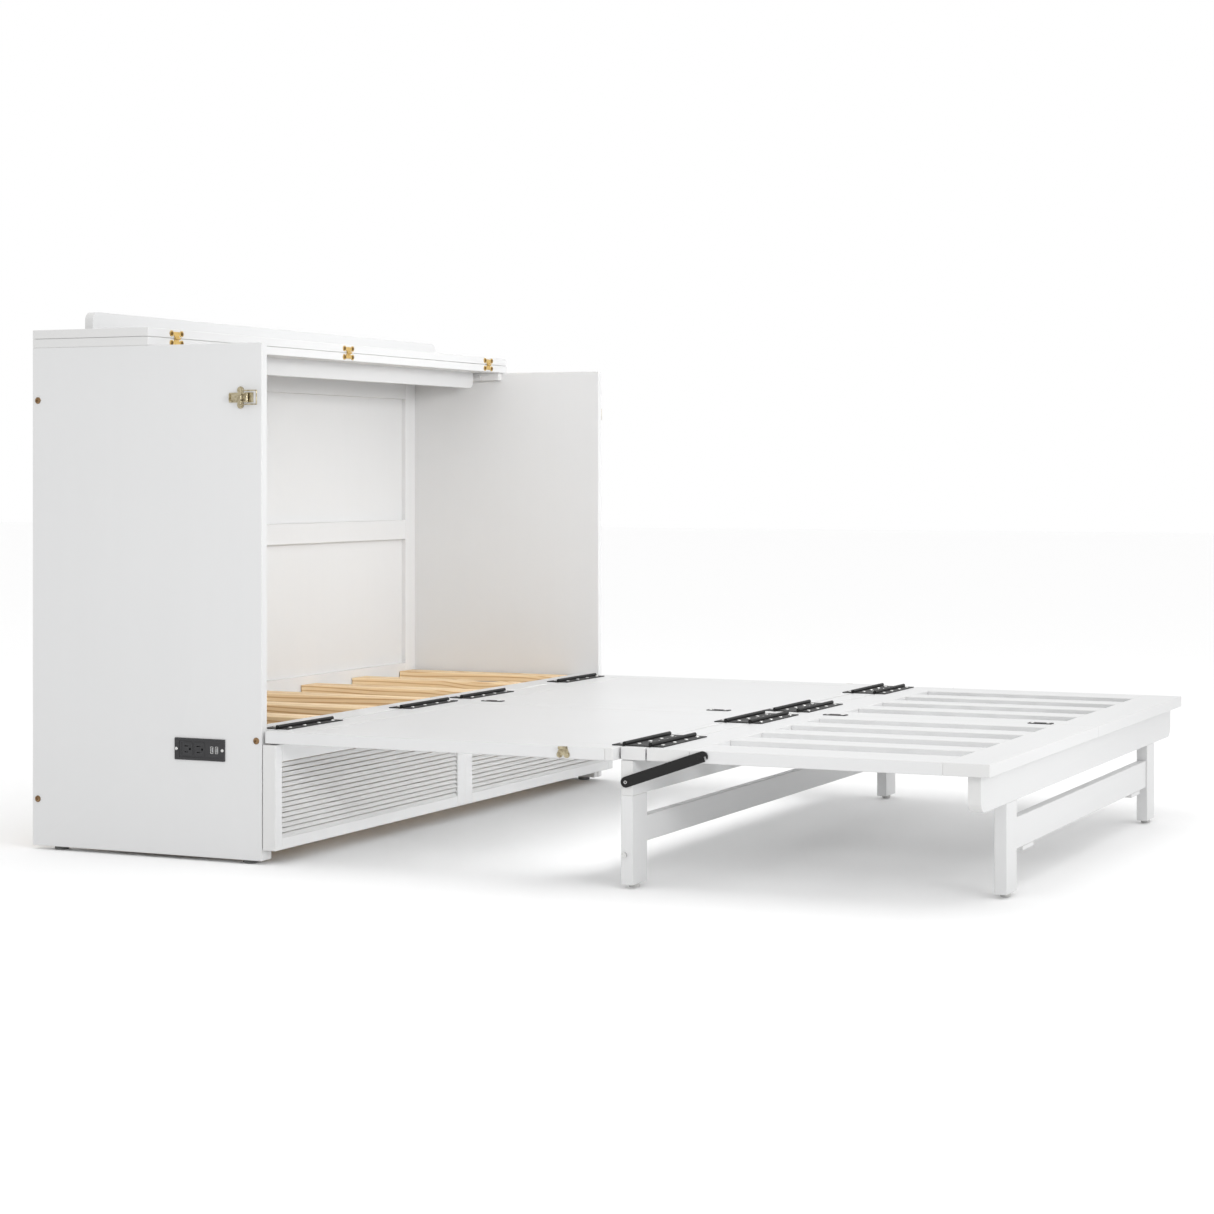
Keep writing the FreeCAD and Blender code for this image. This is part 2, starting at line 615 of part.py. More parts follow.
# ---------------------------------------------------------------- leg frames
rail_low = deck_low - 1.0 - leg_rail_height
leg1_half = half - leg1_inset
leg2_half = half - leg2_inset
leg2_rail_half = half - leg2_rail_inset
keep("leg1_rail", [board(-leg1_half, leg1_half, leg1_front, leg1_back, rail_low, deck_low - 1.0)])
keep("leg1_legs", [board(s * leg1_half, s * (leg1_half - leg_width), leg1_front, leg1_back,
                         glide_height, rail_low) for s in sides])
keep("leg1_stretcher", [board(-leg1_half + leg_width, leg1_half - leg_width, leg1_front + 3.0,
                              leg1_back - 2.0, stretcher_low, stretcher_low + stretcher_height)])
keep("leg1_glides", [rod(s * (leg1_half - leg_width / 2), (leg1_front + leg1_back) / 2, 0, 10.0,
                         glide_height, (0, 0, 1)) for s in sides])
keep("leg2_rail", [end_rounded(-leg2_rail_half, leg2_rail_half, leg2_front, leg2_back, rail_low,
                               deck_low - 1.0, 26.0, False)])
keep("leg2_legs", [board(s * leg2_half, s * (leg2_half - leg_width), leg2_front, leg2_back,
                         glide_height, rail_low) for s in sides])
stretcher2 = [board(-leg2_half + leg_width, leg2_half - leg_width, leg2_front + 3.0,
                    leg2_back - 2.0, stretcher_low, stretcher_low + stretcher2_height)]
block_half = leg2_half - 165.0
for s in sides:
    stretcher2.append(board(s * (block_half + 38.0), s * (block_half - 38.0), leg2_front + 4.0,
                            leg2_back - 3.0, stretcher_low - 9.0, stretcher_low))
keep("leg2_stretcher", stretcher2)
keep("leg2_glides", [rod(s * (leg2_half - leg_width / 2), (leg2_front + leg2_back) / 2, 0, 10.0,
                         glide_height, (0, 0, 1)) for s in sides])
keep("leg2_hinge_leaves", [leg_leaf_moving(c, leg2_axis, leg2_back) for c in leg_hinge_centres])

# ---------------------------------------------------------------- stays
# A flat steel arm on each side, from the leg frame's rail to the foot section's
# edge. A stop peg on the leg catches it when it is swung down.
stay_y = (leg1_front + leg1_back) / 2
stay_z = rail_low + 26.0
stay_far_y = stay_y - 154.0
stay_far_z = stay_z + 54.0
stay_half_width = 10.5
stay_thickness = 3.0
stay_space = 2.0
stay_reach = math.hypot(stay_far_y - stay_y, stay_far_z - stay_z)
stay_angle = math.degrees(math.atan2(stay_far_z - stay_z, stay_y - stay_far_y))
peg_z = 66.0
fittings = [leg_leaf_moving(c, leg1_axis, leg1_front) for c in leg_hinge_centres]
for s, name in zip(sides, ("left", "right")):
    face = s * leg1_half
    near = face + s * stay_space
    # drawn level, towards -Y from the pivot, then tilted up
    bar = block(near, near + s * stay_thickness, stay_y, stay_y - stay_reach,
                stay_z - stay_half_width, stay_z + stay_half_width)
    bar = bar.fuse(rod(near, stay_y, stay_z, stay_half_width, stay_thickness, (s, 0, 0)))
    bar = bar.fuse(rod(near, stay_y - stay_reach - 4.0, stay_z, stay_half_width, stay_thickness,
                       (s, 0, 0)))
    notch = block(near - s, near + s * (stay_thickness + 1), stay_y - stay_reach - 5.5,
                  stay_y - stay_reach - 11.0, stay_z - 12.0, stay_z - 1.0)
    bar = bar.cut(notch)
    bar = bar.cut(rod(near - s, stay_y, stay_z, 3.05, stay_thickness + 2, (s, 0, 0)))
    knob = dome(near + s * stay_thickness, stay_y - stay_reach + 2.0, stay_z, 5.0, 1.6, (s, 0, 0))
    centre = FreeCAD.Vector(0, stay_y, stay_z)
    bar.rotate(centre, FreeCAD.Vector(1, 0, 0), -stay_angle)
    knob.rotate(centre, FreeCAD.Vector(1, 0, 0), -stay_angle)
    keep("stay_" + name, [bar, knob])
    fittings.append(rod(face, stay_y, stay_z, 3.0, stay_space + stay_thickness + 0.4, (s, 0, 0)))
    fittings.append(rod(face, stay_y, stay_z, 7.0, stay_space - 0.2, (s, 0, 0)).cut(
        rod(face, stay_y, stay_z, 3.0, stay_space, (s, 0, 0))))
    fittings.append(dome(near + s * (stay_thickness + 0.4), stay_y, stay_z, 5.0, 1.4, (s, 0, 0)))
    fittings.append(rod(face, stay_y + 4.0, peg_z, 5.0, stay_space + stay_thickness + 1.0, (s, 0, 0)))
keep("leg1_fittings", fittings)

# ---------------------------------------------------------------- drawer
face_back = front - 2.0
face_front = face_back - drawer_thickness
drawer_high = deck_low - drawer_gap
frame = []
for s in sides:
    frame.append(board(s * half, s * (half - stile_width), face_front, face_back,
                       drawer_low, drawer_high))
    frame.append(board(0, s * centre_stile, face_front, face_back, drawer_low, drawer_high))
bay_a = centre_stile
bay_b = half - stile_width
louvre_low = drawer_low + louvre_rail_low
louvre_high = drawer_high - louvre_rail_high
for s in sides:
    frame.append(board(s * bay_a, s * bay_b, face_front, face_back, drawer_low, louvre_low))
    frame.append(board(s * bay_a, s * bay_b, face_front, face_back, louvre_high, drawer_high))
keep("drawer_frame", frame)
pitch = (louvre_high - louvre_low) / louvre_count
louvre_gap = 2.6
louvres = []
for s in sides:
    for i in range(louvre_count):
        z = louvre_low + i * pitch
        top = z + pitch - louvre_gap
        points = [(face_front + 2.0, z), (face_front + 2.0 + louvre_slant, top),
                  (face_front + 2.0 + louvre_slant + louvre_thickness, top),
                  (face_front + 2.0 + louvre_thickness, z)]
        louvres.append(profile(points, s * bay_a, s * bay_b))
keep("drawer_louvres", louvres)
box_half = inner - 14.0
box_wall = 14.0
box_low = 46.0
box_high = drawer_high - 48.0
box_back = front + cabinet_depth - 75.0
box_start = face_back + box_wall
box_front = board(-box_half, box_half, face_back, box_start, box_low, box_high)
box_rear = board(-box_half + box_wall, box_half - box_wall, box_back - box_wall, box_back,
                 box_low, box_high)
keep("drawer_ends", [box_front, box_rear])
keep("drawer_sides", [board(s * box_half, s * (box_half - box_wall), box_start, box_back,
                            box_low, box_high) for s in sides])
keep("drawer_bottom", [block(-box_half + box_wall, box_half - box_wall, box_start,
                             box_back - box_wall, box_low + 6.0, box_low + 15.0)])
keep("drawer_slides", [block(s * box_half, s * (box_half + 7.0), box_start + 4.0, box_back - 10.0,
                             runner_z + 4.0, runner_z + runner_height - 4.0) for s in sides])
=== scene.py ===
import json
import math
import bmesh
import bpy
from mathutils import Matrix, Vector


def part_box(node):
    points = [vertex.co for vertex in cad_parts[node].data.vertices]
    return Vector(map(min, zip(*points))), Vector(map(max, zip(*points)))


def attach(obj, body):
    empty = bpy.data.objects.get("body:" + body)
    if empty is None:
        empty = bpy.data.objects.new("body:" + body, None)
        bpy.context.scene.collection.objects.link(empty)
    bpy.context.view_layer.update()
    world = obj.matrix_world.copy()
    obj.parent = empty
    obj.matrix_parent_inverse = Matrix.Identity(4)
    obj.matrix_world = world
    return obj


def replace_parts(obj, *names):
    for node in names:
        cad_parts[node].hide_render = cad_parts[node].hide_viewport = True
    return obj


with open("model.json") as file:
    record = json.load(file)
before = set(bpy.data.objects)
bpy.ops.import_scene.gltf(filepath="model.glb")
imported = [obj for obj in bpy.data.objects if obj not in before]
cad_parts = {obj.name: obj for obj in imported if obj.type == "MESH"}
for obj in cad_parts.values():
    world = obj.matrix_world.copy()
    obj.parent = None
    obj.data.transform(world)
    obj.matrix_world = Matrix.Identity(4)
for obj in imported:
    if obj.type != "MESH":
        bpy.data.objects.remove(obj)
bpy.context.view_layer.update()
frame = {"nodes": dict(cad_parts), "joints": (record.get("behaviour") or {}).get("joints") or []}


# ---------------------------------------------------------------- side panels
# Two upright boards of edge-glued pine, cut square and eased along their
# arrises. They are sprayed with a satin white lacquer, and the grain just
# shows through it, more on the sawn ends than on the faces.
class Tone:
    """A shader socket that can be used in sums; node() adds any other node."""

    def __init__(self, tree, socket=None):
        self.tree = tree
        self.socket = socket

    def node(self, kind, settings, sockets, output=0):
        made = self.tree.nodes.new(kind)
        for name, value in settings.items():
            if name == "stops":
                elements = made.color_ramp.elements
                for place, colour in value[1:-1]:
                    elements.new(place)
                for element, (place, colour) in zip(elements, value):
                    element.position = place
                    element.color = (*colour, 1.0)
            else:
                setattr(made, name, value)
        for name, value in sockets.items():
            socket = made.inputs[name]
            if isinstance(value, Tone):
                self.tree.links.new(value.socket, socket)
            elif socket.type == "RGBA":
                socket.default_value = (*value, 1.0)
            else:
                socket.default_value = value
        return Tone(self.tree, made.outputs[output] if len(made.outputs) else None)

    def maths(self, operation, *values):
        return self.node("ShaderNodeMath", {"operation": operation}, dict(enumerate(values)))

    def vector(self, operation, first, second, output=0):
        return self.node("ShaderNodeVectorMath", {"operation": operation},
                         {0: first, 1: second}, output)

    def __add__(self, other):
        return self.maths("ADD", self, other)

    __radd__ = __add__

    def __sub__(self, other):
        return self.maths("SUBTRACT", self, other)

    def __rsub__(self, other):
        return self.maths("SUBTRACT", other, self)

    def __mul__(self, other):
        return self.maths("MULTIPLY", self, other)

    __rmul__ = __mul__

    def ramped(self, low, high):
        """0 below low, 1 above high, and smooth between them."""
        return self.node("ShaderNodeMapRange", {"interpolation_type": "SMOOTHSTEP"},
                         {"Value": self, "From Min": low, "From Max": high})

    def between(self, first, second):
        """The first colour where this is 0 and the second where it is 1."""
        return self.node("ShaderNodeMix", {"data_type": "RGBA"},
                         {0: self, 6: first, 7: second}, 2)

    def speckle(self, place, scale, detail=2.0, seed=0.0):
        return self.node("ShaderNodeTexNoise", {"noise_dimensions": "4D"},
                         {"Vector": place, "W": seed, "Scale": scale, "Detail": detail})


def start_finish(name):
    material = bpy.data.materials.new(name)
    material.use_nodes = True
    material.node_tree.nodes.clear()
    root = Tone(material.node_tree)
    return material, root, root.node("ShaderNodeTexCoord", {}, {}, "Object")


def close_finish(root, sockets, height, depth):
    """The shader itself; height from 0 to 1 stands depth metres proud."""
    relief = root.node("ShaderNodeBump", {}, {"Distance": depth, "Height": height})
    shader = root.node("ShaderNodeBsdfPrincipled", {}, {**sockets, "Normal": relief})
    root.node("ShaderNodeOutputMaterial", {}, {"Surface": shader})


def along_grain(grain, share):
    """Scales that draw a pattern out along the grain."""
    return [share if axis == grain else 1.0 for axis in "XYZ"]


def white_lacquer(name, grain):
    material, root, place = start_finish(name)
    board = root.node("ShaderNodeNewGeometry", {}, {}, "Random Per Island")
    facing = root.node("ShaderNodeTexCoord", {}, {}, "Normal")
    facing = root.vector("ABSOLUTE", facing, (0.0, 0.0, 0.0))
    nx, ny, nz = [root.node("ShaderNodeSeparateXYZ", {}, {0: facing}, axis) for axis in "XYZ"]
    arris = (nx * ny + ny * nz + nx * nz).ramped(0.25, 0.45)
    sawn_end = {"X": nx, "Y": ny, "Z": nz}[grain].ramped(0.9, 0.98)
    drawn = root.vector("MULTIPLY", place, along_grain(grain, 0.03))
    fibre = root.speckle(drawn, 330.0, 3.0, board * 30.0)
    growth = root.speckle(drawn, 46.0, 2.0, board * 50.0)
    pores = root.speckle(place, 420.0, 3.0)
    peel = root.speckle(place, 850.0, 1.0)
    cloud = root.speckle(place, 4.0, 2.0, board * 9.0)
    body = cloud * 0.5 + growth * 0.3 + board * 0.2
    shade = body.between((0.647, 0.650, 0.653), (0.685, 0.687, 0.688))
    shade = (sawn_end * 0.5).between(shade, (0.635, 0.632, 0.622))
    shade = (arris * 0.6).between(shade, (0.62, 0.617, 0.606))
    gloss = 0.33 + fibre * 0.09 + sawn_end * 0.12 - arris * 0.05
    relief = fibre * 0.35 + growth * 0.35 + peel * 0.15 + sawn_end * pores * 0.9
    close_finish(root, {"Base Color": shade, "Roughness": gloss, "IOR": 1.46}, relief, 0.0001)
    return material


def finish_nodes(material, *names):
    for name in names:
        for place in frame["nodes"][name].material_slots:
            place.material = material


lacquer_up = white_lacquer("white_lacquer_up", "Z")
finish_nodes(lacquer_up, "side_panel_left", "side_panel_right")

# ---------------------------------------------------------------- back
# A frame of stiles and rails, with two thin boards let into its back. It is
# glued up, lacquered white with the panels, and screwed between them.
finish_nodes(lacquer_up, "back_frame", "back_panels")

# ---------------------------------------------------------------- top and lid
# The fixed board and the lid folded back on it, each stiffened by a rail with
# rounded ends, and the cleats that hold the fixed board to the side panels.
lacquer_across = white_lacquer("white_lacquer_across", "X")
finish_nodes(lacquer_across, "top_board", "top_rail", "lid_board", "lid_rail")
lacquer_along = white_lacquer("white_lacquer_along", "Y")
finish_nodes(lacquer_along, "top_cleats", "base_battens")

# ---------------------------------------------------------------- deck rail
# The board across the cabinet's front that carries the hinges, and the ledgers
# that the slats rest on. Both run the whole width between the side panels.
finish_nodes(lacquer_across, "deck_front_rail", "slat_ledgers")

# ---------------------------------------------------------------- pine slats
# Seven planed pine slats, front to back, with softened arrises and no coat.
# They are flat sawn, so the growth rings make long tongues, with a few knots.
slat_width = 0.070
slat_count = 7
slat_arris = 0.0022


def bare_pine(name, grain, heart, ring, pale, dark, knotty):
    """Planed pine; heart is where the rings centre, ring their spacing."""
    material, root, place = start_finish(name)
    piece = root.node("ShaderNodeObjectInfo", {}, {}, "Random")
    board = root.node("ShaderNodeNewGeometry", {}, {}, "Random Per Island") + piece
    drawn = root.vector("MULTIPLY", place, along_grain(grain, 0.16))
    wander = root.speckle(drawn, 11.0, 2.0, board * 23.0) - 0.5
    shifted = root.node("ShaderNodeCombineXYZ", {}, {0: board * 7.0, 1: board * 5.0, 2: board})
    cells = root.vector("ADD", root.vector("MULTIPLY", place, along_grain(grain, 0.55)), shifted)
    knot_away = root.node("ShaderNodeTexVoronoi", {}, {"Vector": cells, "Scale": 5.2}, "Distance")
    knot = (1.0 - knot_away.ramped(0.05, 0.12)) * knotty
    around = (1.0 - knot_away.ramped(0.05, 0.42)) * knotty
    flat = [0.0 if axis == grain else 1.0 for axis in "XYZ"]
    away = root.vector("MULTIPLY", root.vector("SUBTRACT", place, heart), flat)
    radius = root.vector("LENGTH", away, (0.0, 0.0, 0.0), "Value")
    rings = (radius + wander * 0.03 + around * 0.016) * (1.0 / ring)
    band = root.maths("PINGPONG", rings, 0.5) * 2.0
    late = band.ramped(0.5, 0.97)
    fine = root.vector("MULTIPLY", place, along_grain(grain, 0.025))
    fibre = root.speckle(fine, 620.0, 3.0, board * 11.0)
    cloud = root.speckle(drawn, 5.0, 2.0, board * 4.0)
    shade = (late * 0.62 + fibre * 0.22 + cloud * 0.2 - 0.06).between(pale, dark)
    shade = (knot * 0.85).between(shade, (0.165, 0.066, 0.022))
    gloss = 0.52 + late * 0.08 - knot * 0.12
    relief = fibre * 0.6 + late * 0.4
    close_finish(root, {"Base Color": shade, "Roughness": gloss}, relief, 0.00025)
    return material


def planed_board(name, low, high, arris, body, material):
    """A board with rounded arrises, its origin at its own middle."""
    size = high - low
    shape = bmesh.new()
    bmesh.ops.create_cube(shape, size=1.0)
    bmesh.ops.scale(shape, vec=size, verts=shape.verts)
    bmesh.ops.bevel(shape, geom=shape.edges[:], offset=arris, segments=4, profile=0.5,
                    affect="EDGES")
    mesh = bpy.data.meshes.new(name)
    shape.to_mesh(mesh)
    shape.free()
    for face in mesh.polygons:
        face.use_smooth = True
    mesh.materials.append(material)
    piece = bpy.data.objects.new(name, mesh)
    piece.location = (low + high) / 2
    bpy.context.scene.collection.objects.link(piece)
    piece.modifiers.new("flat_faces", "WEIGHTED_NORMAL")
    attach(piece, body)
    return piece


slat_pine = bare_pine("slat_pine", "Y", (0.012, 0.0, -0.052), 0.0078,
                      (0.93, 0.73, 0.46), (0.52, 0.265, 0.085), 1.0)
slats_low, slats_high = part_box("pine_slats")
slat_pitch = (slats_high.x - slats_low.x - slat_width) / (slat_count - 1)
for i in range(slat_count):
    left = slats_low.x + i * slat_pitch
    slat = planed_board("pine_slat_%d" % (i + 1), Vector((left, slats_low.y, slats_low.z)),
                        Vector((left + slat_width, slats_high.y, slats_high.z)), slat_arris,
                        "cabinet", slat_pine)
    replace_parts(slat, "pine_slats")

# ---------------------------------------------------------------- cap bolts
# Bronzed steel connector bolts that pull the side panels to the frame. Each
# has a low round cap with a hexagon socket, three on each outer face.
cap_radius = 0.0070
cap_height = 0.0025
cap_socket = 0.0024
cap_socket_depth = 0.0016
cap_above_rail = 0.004


def drifted_metal(name, bright, dull, roughness, spots):
    """Plated metal, with fine drawing marks and small dull spots."""
    material, root, place = start_finish(name)
    marks = root.speckle(root.vector("MULTIPLY", place, (0.15, 1.0, 1.0)), 1800.0, 2.0)
    cloud = root.speckle(place, 160.0, 3.0).ramped(0.5 - spots, 0.85)
    shade = (cloud * 0.8 + marks * 0.15).between(bright, dull)
    close_finish(root, {"Base Color": shade, "Metallic": 1.0,
                        "Roughness": roughness + cloud * 0.2 + marks * 0.08},
                 marks * 0.6 + cloud * 0.4, 0.00004)
    return material


def circle(radius, count):
    turn = 2 * math.pi / count
    return [(radius * math.cos(i * turn), radius * math.sin(i * turn)) for i in range(count)]


def ring_of(shape, points, level):
    return [shape.verts.new((x, y, level)) for x, y in points]


def skin(shape, lower, upper):
    """Faces between two rings with the same number of points."""
    for i in range(len(lower)):
        j = (i + 1) % len(lower)
        shape.faces.new((lower[i], lower[j], upper[j], upper[i]))


def driven_head(levels, outline, radius, height, depth):
    """A round head with a driver recess of that outline sunk in its top."""
    shape = bmesh.new()
    rings = [ring_of(shape, circle(radius * r, 32), height * z) for r, z in levels]
    for lower, upper in zip(rings, rings[1:]):
        skin(shape, lower, upper)
    lip = ring_of(shape, outline, height)
    sunk = ring_of(shape, [(x * 0.8, y * 0.8) for x, y in outline], height - depth)
    skin(shape, lip, sunk)
    shape.faces.new(sunk)
    facing = []
    for loop in (rings[-1], lip):
        facing += [shape.edges.get((loop[i - 1], loop[i])) for i in range(len(loop))]
    bmesh.ops.bridge_loops(shape, edges=facing)
    bmesh.ops.recalc_face_normals(shape, faces=shape.faces)
    return shape


def stamp(name, shape, places, outward, body, material):
    """One piece made of copies of a shape, standing outward at each place."""
    turn = Vector(outward).to_track_quat("Z", "Y").to_matrix().to_4x4()
    vertices = []
    faces = []
    for i, place in enumerate(places):
        matrix = Matrix.Translation(place) @ turn @ Matrix.Rotation(2.4 * i, 4, "Z")
        first = len(vertices)
        vertices += [matrix @ v.co for v in shape.verts]
        shape.verts.index_update()
        faces += [[first + v.index for v in face.verts] for face in shape.faces]
    mesh = bpy.data.meshes.new(name)
    mesh.from_pydata(vertices, [], faces)
    for face in mesh.polygons:
        face.use_smooth = True
    mesh.set_sharp_from_angle(angle=math.radians(32))
    mesh.materials.append(material)
    piece = bpy.data.objects.new(name, mesh)
    bpy.context.scene.collection.objects.link(piece)
    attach(piece, body)
    return piece


bronze = drifted_metal("bronzed_steel", (0.30, 0.19, 0.10), (0.09, 0.05, 0.025), 0.3, 0.14)
cap = driven_head(((1.0, 0.0), (1.0, 0.25), (0.93, 0.6), (0.8, 0.88), (0.62, 1.0)),
                  circle(cap_socket, 6), cap_radius, cap_height, cap_socket_depth)
caps_low, caps_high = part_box("cap_bolts")
for side, name in ((-1, "left"), (1, "right")):
    face = side * (caps_high.x - cap_height)
    places = [(face, caps_high.y - cap_radius, caps_high.z - cap_radius),
              (face, caps_high.y - cap_radius, caps_low.z + cap_radius),
              (face, caps_low.y + cap_radius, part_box("deck_front_rail")[0].z + cap_above_rail)]
    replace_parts(stamp("cap_bolts_" + name, cap, places, (side, 0, 0), "cabinet", bronze),
                "cap_bolts")

# ---------------------------------------------------------------- cabinet glides
# Four moulded pads pressed into the bottom edges of the side panels. Each has
# a rounded rim and a shallow groove where the mould closed.
def moulded(name, colour, roughness):
    """Moulded plastic with a fine spark-eroded skin."""
    material, root, place = start_finish(name)
    spark = root.speckle(place, 2600.0, 2.0)
    cloud = root.speckle(place, 60.0, 2.0)
    worn, fresh = [c * 0.85 for c in colour], [c * 1.2 for c in colour]
    shade = (cloud * 0.7 + spark * 0.3).between(worn, fresh)
    close_finish(root, {"Base Color": shade, "Roughness": roughness + spark * 0.12}, spark, 0.00006)
    return material


def turned(levels, count=36):
    """A closed turned shape from (radius, height) pairs, foot first."""
    shape = bmesh.new()
    rings = [ring_of(shape, circle(r, count), z) for r, z in levels]
    for lower, upper in zip(rings, rings[1:]):
        skin(shape, lower, upper)
    shape.faces.new(rings[0])
    shape.faces.new(rings[-1])
    bmesh.ops.recalc_face_normals(shape, faces=shape.faces)
    return shape


def glide(radius, height):
    return turned(((radius * 0.78, 0.0), (radius * 0.93, height * 0.06), (radius, height * 0.22),
                   (radius, height * 0.52), (radius * 0.965, height * 0.56),
                   (radius * 0.965, height * 0.62), (radius, height * 0.66), (radius, height)))


glide_plastic = moulded("glide_plastic", (0.11, 0.11, 0.108), 0.5)
glide_radius = 0.015
pads_low, pads_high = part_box("cabinet_glides")
pad_places = [(x, y, 0.0) for x in (pads_low.x + glide_radius, pads_high.x - glide_radius)
              for y in (pads_low.y + glide_radius, pads_high.y - glide_radius)]
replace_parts(stamp("cabinet_glide_pads", glide(glide_radius, pads_high.z), pad_places, (0, 0, 1),
                  "cabinet", glide_plastic), "cabinet_glides")

# ---------------------------------------------------------------- power socket
# A black moulded plate let into the left panel, with two three-pin outlets and
# two charging ports. Raised rims frame the outlets, and two screws hold it.
socket_plastic = moulded("socket_plastic", (0.021, 0.021, 0.023), 0.42)
finish_nodes(socket_plastic, "socket_plate", "socket_body")


def rounded_outline(width, height, corner):
    points = []
    for cx, cy, start in ((1, 1, 0), (-1, 1, 1), (-1, -1, 2), (1, -1, 3)):
        for step in range(5):
            angle = (start + step / 4) * math.pi / 2
            points.append((cx * (width / 2 - corner) + corner * math.cos(angle),
                           cy * (height / 2 - corner) + corner * math.sin(angle)))
    return points


def rim(width, height, corner, band, rise):
    """A raised frame round an opening, softened along its top."""
    shape = bmesh.new()
    levels = ((0.0, 0.0), (0.0, 0.6), (0.2, 1.0), (0.8, 1.0), (1.0, 0.6), (1.0, 0.0))
    rings = [ring_of(shape, rounded_outline(width - 2 * band * inset, height - 2 * band * inset,
                                            corner - band * inset), rise * level)
             for inset, level in levels]
    for lower, upper in zip(rings, rings[1:] + rings[:1]):
        skin(shape, lower, upper)
    bmesh.ops.recalc_face_normals(shape, faces=shape.faces)
    return shape


rim_lift = 0.0001
outlet_steps = (0.0300, 0.0005)
port_steps = (-0.0300, -0.0415)
tongue_set_back = Vector((0.0019, 0.0, 0.0))
tongue_reach = Vector((0.0015, 0.0007, 0.0046))
plate_proud = 0.0012
plate_screw_step = 0.0555
plate_low, plate_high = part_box("socket_plate")
socket_middle = (plate_low + plate_high) / 2
socket_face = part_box("socket_body")[0].x
outlet_rim = rim(0.0275, 0.0300, 0.0040, 0.0009, 0.0006)
for i, step in enumerate(outlet_steps):
    place = (socket_face + rim_lift, socket_middle.y + step, socket_middle.z)
    stamp("outlet_rim_%d" % (i + 1), outlet_rim, [place], (-1, 0, 0), "cabinet",
          socket_plastic)
zinc = drifted_metal("zinc_plate", (0.70, 0.70, 0.69), (0.42, 0.42, 0.41), 0.26, 0.05)
port_plastic = moulded("port_plastic", (0.60, 0.61, 0.62), 0.4)
port_rim = rim(0.0068, 0.0146, 0.0014, 0.0010, 0.0005)
for i, step in enumerate(port_steps):
    place = Vector((socket_face + rim_lift, socket_middle.y + step, socket_middle.z))
    stamp("port_rim_%d" % (i + 1), port_rim, [place], (-1, 0, 0), "cabinet", zinc)
    middle = place + tongue_set_back
    planed_board("port_tongue_%d" % (i + 1), middle - tongue_reach, middle + tongue_reach, 0.0003,
                 "cabinet", port_plastic)
pan_levels = ((1.0, 0.0), (1.0, 0.3), (0.93, 0.66), (0.8, 0.92), (0.66, 1.0))


def cross(reach, width):
    """The outline of a cross recess."""
    half = width / 2
    corner = [(reach, -half), (reach, half), (half, half)]
    outline = []
    for quarter in range(4):
        c = round(math.cos(quarter * math.pi / 2))
        s = round(math.sin(quarter * math.pi / 2))
        outline += [(x * c - y * s, x * s + y * c) for x, y in corner]
    return outline


plate_screw = driven_head(pan_levels, cross(0.0018, 0.0008), 0.0034, 0.0016, 0.00035)
stamp("socket_screws", plate_screw,
      [(plate_low.x + plate_proud, socket_middle.y + step, socket_middle.z)
       for step in (-plate_screw_step, plate_screw_step)],
      (-1, 0, 0), "cabinet", zinc)

# ---------------------------------------------------------------- deck hinges
# Pressed steel leaves with rolled knuckles, powder coated black. Four stand on
# each fold line, fixed by zinc-plated screws with cross recesses.
hinge_middles = (-0.660, -0.143, 0.143, 0.660)
screw_radius = 0.0042
screw_height = 0.0017
leaf_thickness = 0.002
cabinet_line = 0.020          # from the fold line to the screws
panel_line = 0.0155
bridge_line = 0.009           # from the bridge's middle to its screws
full_spread = 0.170           # over the outer screws of one leaf
bridge_head_spread = 0.160
bridge_foot_spread = 0.120


def powder_coat(name):
    """Black powder coat: a fine pebble, rubbed a little brighter in scattered patches."""
    material, root, place = start_finish(name)
    pebble = root.speckle(place, 1500.0, 2.0)
    rub = root.speckle(place, 95.0, 4.0).ramped(0.60, 0.78)
    shade = (rub * 0.7 + pebble * 0.2).between((0.008, 0.008, 0.0082), (0.030, 0.029, 0.027))
    close_finish(root, {"Base Color": shade, "Roughness": 0.42 + pebble * 0.2 - rub * 0.06,
                        "Specular IOR Level": 0.28}, pebble, 0.00007)
    return material


black_coat = powder_coat("black_powder_coat")
finish_nodes(black_coat, "deck_hinge_leaves", "mid_hinge_leaves", "bridge_hinge_plates",
             "foot_hinge_leaves")
hinge_screw = driven_head(pan_levels, cross(0.0022, 0.0009), screw_radius, screw_height, 0.00045)
leaf_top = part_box("pine_slats")[1].z + leaf_thickness
pivot = {j["name"]: Vector(j["pos_m"]) for j in frame["joints"] if "pos_m" in j}
head_fold = pivot["mid_fold"].y
panel_fold = pivot["bridge_fold"].y
foot_fold = pivot["foot_fold"].y
bridge_middle = (panel_fold + foot_fold) / 2
rows = (("deck_hinge", "cabinet", head_fold + cabinet_line, full_spread),
        ("panel_head_hinge", "mid_panel", head_fold - panel_line, full_spread),
        ("panel_foot_hinge", "mid_panel", panel_fold + panel_line, full_spread),
        ("bridge_head_hinge", "bridge", bridge_middle + bridge_line, bridge_head_spread),
        ("bridge_foot_hinge", "bridge", bridge_middle - bridge_line, bridge_foot_spread),
        ("foot_hinge", "foot_section", foot_fold - panel_line, full_spread))
for name, body, line, spread in rows:
    places = [(middle + spread * (k / 3 - 0.5), line, leaf_top)
              for middle in hinge_middles for k in range(4)]
    stamp(name + "_screws", hinge_screw, places, (0, 0, 1), body, zinc)

